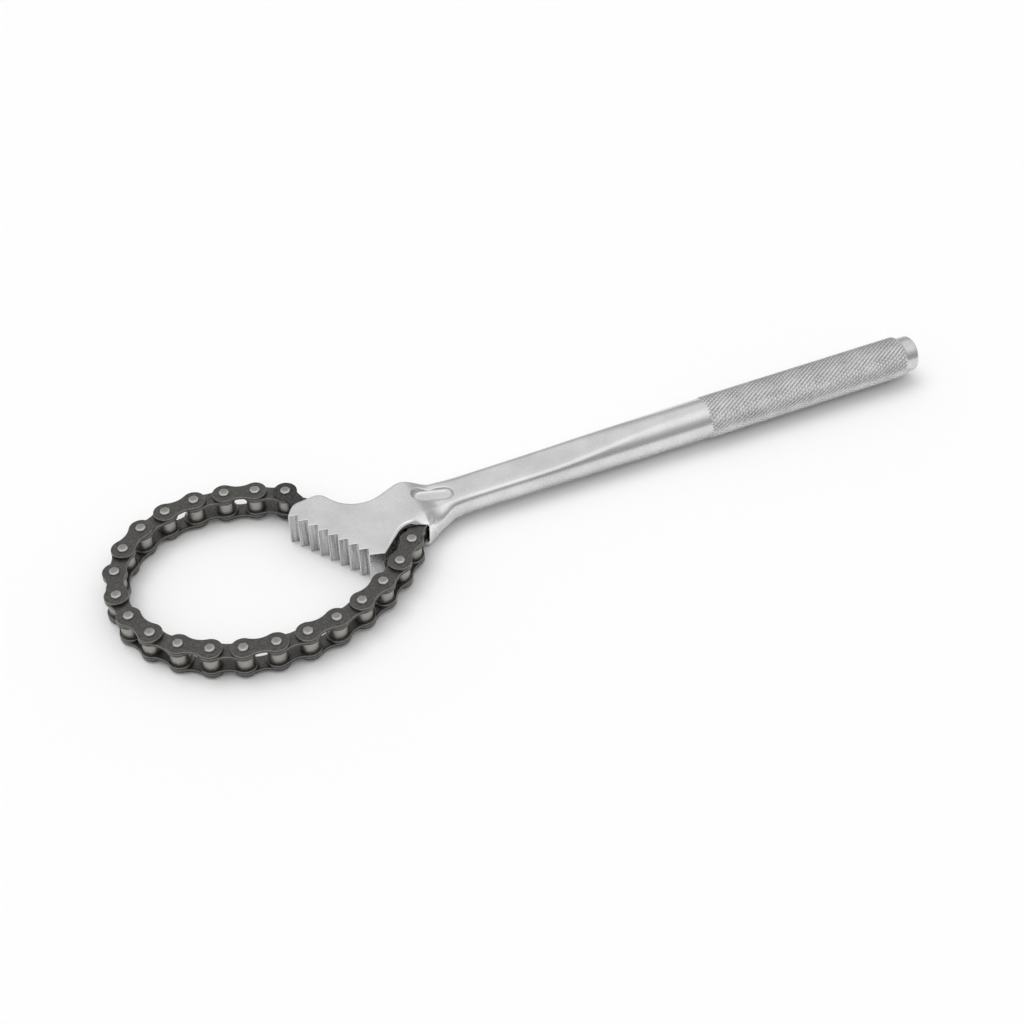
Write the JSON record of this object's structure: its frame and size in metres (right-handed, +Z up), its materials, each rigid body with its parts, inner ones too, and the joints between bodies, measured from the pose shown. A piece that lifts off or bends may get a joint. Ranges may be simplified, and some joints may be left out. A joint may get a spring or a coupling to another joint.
{
  "type": "chain oil filter wrench",
  "caption": "Forged steel handle with a knurled grip and a toothed jaw, and a loop of roller chain that hooks onto the jaw to grip and turn an oil filter.",
  "frame": {"origin": "centre of the handle's butt end face, on the handle axis", "axes": "+X out of the butt end along the handle, +Z up along the chain pins with the tool lying flat, +Y towards the back of the head"},
  "size_m": [0.3752, 0.0969, 0.0188],
  "materials": {
    "plated_steel": "satin plated",
    "dark_steel": "dark oxide, lightly oiled",
    "roller_steel": "worn grey steel",
    "pin_steel": "bright riveted steel"
  },
  "bodies": {
    "forged_handle": {"handle": "plated_steel", "anchor_pin": "pin_steel", "hook_pin": "pin_steel"},
    "inner_link_01": {"inner_link_01": "dark_steel"},
    "inner_link_02": {"inner_link_02": "dark_steel"},
    "inner_link_03": {"inner_link_03": "dark_steel"},
    "inner_link_04": {"inner_link_04": "dark_steel"},
    "inner_link_05": {"inner_link_05": "dark_steel"},
    "inner_link_06": {"inner_link_06": "dark_steel"},
    "inner_link_07": {"inner_link_07": "dark_steel"},
    "inner_link_08": {"inner_link_08": "dark_steel"},
    "inner_link_09": {"inner_link_09": "dark_steel"},
    "inner_link_10": {"inner_link_10": "dark_steel"},
    "inner_link_11": {"inner_link_11": "dark_steel"},
    "outer_link_01": {"outer_link_01": "dark_steel", "link_pins_01": "pin_steel"},
    "outer_link_02": {"outer_link_02": "dark_steel", "link_pins_02": "pin_steel"},
    "outer_link_03": {"outer_link_03": "dark_steel", "link_pins_03": "pin_steel"},
    "outer_link_04": {"outer_link_04": "dark_steel", "link_pins_04": "pin_steel"},
    "outer_link_05": {"outer_link_05": "dark_steel", "link_pins_05": "pin_steel"},
    "outer_link_06": {"outer_link_06": "dark_steel", "link_pins_06": "pin_steel"},
    "outer_link_07": {"outer_link_07": "dark_steel", "link_pins_07": "pin_steel"},
    "outer_link_08": {"outer_link_08": "dark_steel", "link_pins_08": "pin_steel"},
    "outer_link_09": {"outer_link_09": "dark_steel", "link_pins_09": "pin_steel"},
    "outer_link_10": {"outer_link_10": "dark_steel", "link_pins_10": "pin_steel"},
    "hook_link": {"hook_link": "dark_steel", "hook_link_pin": "pin_steel"},
    "roller_01": {"roller_01": "roller_steel"},
    "roller_02": {"roller_02": "roller_steel"},
    "roller_03": {"roller_03": "roller_steel"},
    "roller_04": {"roller_04": "roller_steel"},
    "roller_05": {"roller_05": "roller_steel"},
    "roller_06": {"roller_06": "roller_steel"},
    "roller_07": {"roller_07": "roller_steel"},
    "roller_08": {"roller_08": "roller_steel"},
    "roller_09": {"roller_09": "roller_steel"},
    "roller_10": {"roller_10": "roller_steel"},
    "roller_11": {"roller_11": "roller_steel"},
    "roller_12": {"roller_12": "roller_steel"},
    "roller_13": {"roller_13": "roller_steel"},
    "roller_14": {"roller_14": "roller_steel"},
    "roller_15": {"roller_15": "roller_steel"},
    "roller_16": {"roller_16": "roller_steel"},
    "roller_17": {"roller_17": "roller_steel"},
    "roller_18": {"roller_18": "roller_steel"},
    "roller_19": {"roller_19": "roller_steel"},
    "roller_20": {"roller_20": "roller_steel"},
    "roller_21": {"roller_21": "roller_steel"},
    "roller_22": {"roller_22": "roller_steel"}
  },
  "joints": [
    {"name": "link_joint_01", "type": "hinge", "parent": "forged_handle", "child": "inner_link_01", "pos_m": [-0.2464, -0.01, 0], "axis": [0, 0, 1], "range_deg": [0, 8]},
    {"name": "link_joint_02", "type": "hinge", "parent": "inner_link_01", "child": "outer_link_01", "pos_m": [-0.25376, -0.02035, 0], "axis": [0, 0, 1], "range_deg": [0, 7.02]},
    {"name": "link_joint_03", "type": "hinge", "parent": "outer_link_01", "child": "inner_link_02", "pos_m": [-0.26262, -0.02945, 0], "axis": [0, 0, 1], "range_deg": [0, 7.04]},
    {"name": "link_joint_04", "type": "hinge", "parent": "inner_link_02", "child": "outer_link_02", "pos_m": [-0.27276, -0.0371, 0], "axis": [0, 0, 1], "range_deg": [0, 7.11]},
    {"name": "link_joint_05", "type": "hinge", "parent": "outer_link_02", "child": "inner_link_03", "pos_m": [-0.28395, -0.0431, 0], "axis": [0, 0, 1], "range_deg": [0, 7.26]},
    {"name": "link_joint_06", "type": "hinge", "parent": "inner_link_03", "child": "outer_link_03", "pos_m": [-0.29595, -0.04726, 0], "axis": [0, 0, 1], "range_deg": [0, 7.54]},
    {"name": "link_joint_07", "type": "hinge", "parent": "outer_link_03", "child": "inner_link_04", "pos_m": [-0.30847, -0.0494, 0], "axis": [0, 0, 1], "range_deg": [0, 7.97]},
    {"name": "link_joint_08", "type": "hinge", "parent": "inner_link_04", "child": "outer_link_04", "pos_m": [-0.32117, -0.04935, 0], "axis": [0, 0, 1], "range_deg": [0, 8.61]},
    {"name": "link_joint_09", "type": "hinge", "parent": "outer_link_04", "child": "inner_link_05", "pos_m": [-0.33364, -0.04694, 0], "axis": [0, 0, 1], "range_deg": [0, 9.44]},
    {"name": "link_joint_10", "type": "hinge", "parent": "inner_link_05", "child": "outer_link_05", "pos_m": [-0.34535, -0.04203, 0], "axis": [0, 0, 1], "range_deg": [0, 10.47]},
    {"name": "link_joint_11", "type": "hinge", "parent": "outer_link_05", "child": "inner_link_06", "pos_m": [-0.35565, -0.03461, 0], "axis": [0, 0, 1], "range_deg": [0, 11.63]},
    {"name": "link_joint_12", "type": "hinge", "parent": "inner_link_06", "child": "outer_link_06", "pos_m": [-0.36377, -0.02483, 0], "axis": [0, 0, 1], "range_deg": [0, 12.82]},
    {"name": "link_joint_13", "type": "hinge", "parent": "outer_link_06", "child": "inner_link_07", "pos_m": [-0.36887, -0.0132, 0], "axis": [0, 0, 1], "range_deg": [0, 13.91]},
    {"name": "link_joint_14", "type": "hinge", "parent": "inner_link_07", "child": "outer_link_07", "pos_m": [-0.37027, -0.00058, 0], "axis": [0, 0, 1], "range_deg": [0, 14.71]},
    {"name": "link_joint_15", "type": "hinge", "parent": "outer_link_07", "child": "inner_link_08", "pos_m": [-0.36763, 0.01184, 0], "axis": [0, 0, 1], "range_deg": [0, 15.07]},
    {"name": "link_joint_16", "type": "hinge", "parent": "inner_link_08", "child": "outer_link_08", "pos_m": [-0.36112, 0.02274, 0], "axis": [0, 0, 1], "range_deg": [0, 14.84]},
    {"name": "link_joint_17", "type": "hinge", "parent": "outer_link_08", "child": "inner_link_09", "pos_m": [-0.35148, 0.03102, 0], "axis": [0, 0, 1], "range_deg": [0, 13.96]},
    {"name": "link_joint_18", "type": "hinge", "parent": "inner_link_09", "child": "outer_link_09", "pos_m": [-0.33981, 0.03602, 0], "axis": [0, 0, 1], "range_deg": [0, 12.51]},
    {"name": "link_joint_19", "type": "hinge", "parent": "outer_link_09", "child": "inner_link_10", "pos_m": [-0.32722, 0.0377, 0], "axis": [0, 0, 1], "range_deg": [0, 10.71]},
    {"name": "link_joint_20", "type": "hinge", "parent": "inner_link_10", "child": "outer_link_10", "pos_m": [-0.31458, 0.03643, 0], "axis": [0, 0, 1], "range_deg": [0, 8.91]},
    {"name": "link_joint_21", "type": "hinge", "parent": "outer_link_10", "child": "inner_link_11", "pos_m": [-0.30243, 0.03274, 0], "axis": [0, 0, 1], "range_deg": [0, 7.54]},
    {"name": "hook_joint", "type": "hinge", "parent": "inner_link_11", "child": "hook_link", "pos_m": [-0.29104, 0.02712, 0], "axis": [0, 0, 1], "range_deg": [0, 24.02]},
    {"name": "roller_spin_01", "type": "hinge", "parent": "inner_link_01", "child": "roller_01", "pos_m": [-0.2464, -0.01, 0], "axis": [0, 0, 1], "continuous": true},
    {"name": "roller_spin_02", "type": "hinge", "parent": "inner_link_01", "child": "roller_02", "pos_m": [-0.25376, -0.02035, 0], "axis": [0, 0, 1], "continuous": true},
    {"name": "roller_spin_03", "type": "hinge", "parent": "inner_link_02", "child": "roller_03", "pos_m": [-0.26262, -0.02945, 0], "axis": [0, 0, 1], "continuous": true},
    {"name": "roller_spin_04", "type": "hinge", "parent": "inner_link_02", "child": "roller_04", "pos_m": [-0.27276, -0.0371, 0], "axis": [0, 0, 1], "continuous": true},
    {"name": "roller_spin_05", "type": "hinge", "parent": "inner_link_03", "child": "roller_05", "pos_m": [-0.28395, -0.0431, 0], "axis": [0, 0, 1], "continuous": true},
    {"name": "roller_spin_06", "type": "hinge", "parent": "inner_link_03", "child": "roller_06", "pos_m": [-0.29595, -0.04726, 0], "axis": [0, 0, 1], "continuous": true},
    {"name": "roller_spin_07", "type": "hinge", "parent": "inner_link_04", "child": "roller_07", "pos_m": [-0.30847, -0.0494, 0], "axis": [0, 0, 1], "continuous": true},
    {"name": "roller_spin_08", "type": "hinge", "parent": "inner_link_04", "child": "roller_08", "pos_m": [-0.32117, -0.04935, 0], "axis": [0, 0, 1], "continuous": true},
    {"name": "roller_spin_09", "type": "hinge", "parent": "inner_link_05", "child": "roller_09", "pos_m": [-0.33364, -0.04694, 0], "axis": [0, 0, 1], "continuous": true},
    {"name": "roller_spin_10", "type": "hinge", "parent": "inner_link_05", "child": "roller_10", "pos_m": [-0.34535, -0.04203, 0], "axis": [0, 0, 1], "continuous": true},
    {"name": "roller_spin_11", "type": "hinge", "parent": "inner_link_06", "child": "roller_11", "pos_m": [-0.35565, -0.03461, 0], "axis": [0, 0, 1], "continuous": true},
    {"name": "roller_spin_12", "type": "hinge", "parent": "inner_link_06", "child": "roller_12", "pos_m": [-0.36377, -0.02483, 0], "axis": [0, 0, 1], "continuous": true},
    {"name": "roller_spin_13", "type": "hinge", "parent": "inner_link_07", "child": "roller_13", "pos_m": [-0.36887, -0.0132, 0], "axis": [0, 0, 1], "continuous": true},
    {"name": "roller_spin_14", "type": "hinge", "parent": "inner_link_07", "child": "roller_14", "pos_m": [-0.37027, -0.00058, 0], "axis": [0, 0, 1], "continuous": true},
    {"name": "roller_spin_15", "type": "hinge", "parent": "inner_link_08", "child": "roller_15", "pos_m": [-0.36763, 0.01184, 0], "axis": [0, 0, 1], "continuous": true},
    {"name": "roller_spin_16", "type": "hinge", "parent": "inner_link_08", "child": "roller_16", "pos_m": [-0.36112, 0.02274, 0], "axis": [0, 0, 1], "continuous": true},
    {"name": "roller_spin_17", "type": "hinge", "parent": "inner_link_09", "child": "roller_17", "pos_m": [-0.35148, 0.03102, 0], "axis": [0, 0, 1], "continuous": true},
    {"name": "roller_spin_18", "type": "hinge", "parent": "inner_link_09", "child": "roller_18", "pos_m": [-0.33981, 0.03602, 0], "axis": [0, 0, 1], "continuous": true},
    {"name": "roller_spin_19", "type": "hinge", "parent": "inner_link_10", "child": "roller_19", "pos_m": [-0.32722, 0.0377, 0], "axis": [0, 0, 1], "continuous": true},
    {"name": "roller_spin_20", "type": "hinge", "parent": "inner_link_10", "child": "roller_20", "pos_m": [-0.31458, 0.03643, 0], "axis": [0, 0, 1], "continuous": true},
    {"name": "roller_spin_21", "type": "hinge", "parent": "inner_link_11", "child": "roller_21", "pos_m": [-0.30243, 0.03274, 0], "axis": [0, 0, 1], "continuous": true},
    {"name": "roller_spin_22", "type": "hinge", "parent": "inner_link_11", "child": "roller_22", "pos_m": [-0.29104, 0.02712, 0], "axis": [0, 0, 1], "continuous": true}
  ],
  "couplings": [
    {"joint": "link_joint_02", "follows": "link_joint_01", "ratio": 0.87553},
    {"joint": "link_joint_03", "follows": "link_joint_01", "ratio": 0.87794},
    {"joint": "link_joint_04", "follows": "link_joint_01", "ratio": 0.8862},
    {"joint": "link_joint_05", "follows": "link_joint_01", "ratio": 0.90496},
    {"joint": "link_joint_06", "follows": "link_joint_01", "ratio": 0.93932},
    {"joint": "link_joint_07", "follows": "link_joint_01", "ratio": 0.99415},
    {"joint": "link_joint_08", "follows": "link_joint_01", "ratio": 1.0732},
    {"joint": "link_joint_09", "follows": "link_joint_01", "ratio": 1.1779},
    {"joint": "link_joint_10", "follows": "link_joint_01", "ratio": 1.3061},
    {"joint": "link_joint_11", "follows": "link_joint_01", "ratio": 1.451},
    {"joint": "link_joint_12", "follows": "link_joint_01", "ratio": 1.6},
    {"joint": "link_joint_13", "follows": "link_joint_01", "ratio": 1.7357},
    {"joint": "link_joint_14", "follows": "link_joint_01", "ratio": 1.8367},
    {"joint": "link_joint_15", "follows": "link_joint_01", "ratio": 1.8812},
    {"joint": "link_joint_16", "follows": "link_joint_01", "ratio": 1.8521},
    {"joint": "link_joint_17", "follows": "link_joint_01", "ratio": 1.7426},
    {"joint": "link_joint_18", "follows": "link_joint_01", "ratio": 1.5613},
    {"joint": "link_joint_19", "follows": "link_joint_01", "ratio": 1.3358},
    {"joint": "link_joint_20", "follows": "link_joint_01", "ratio": 1.1107},
    {"joint": "link_joint_21", "follows": "link_joint_01", "ratio": 0.94038},
    {"joint": "hook_joint", "follows": "link_joint_01", "ratio": 3}
  ]
}
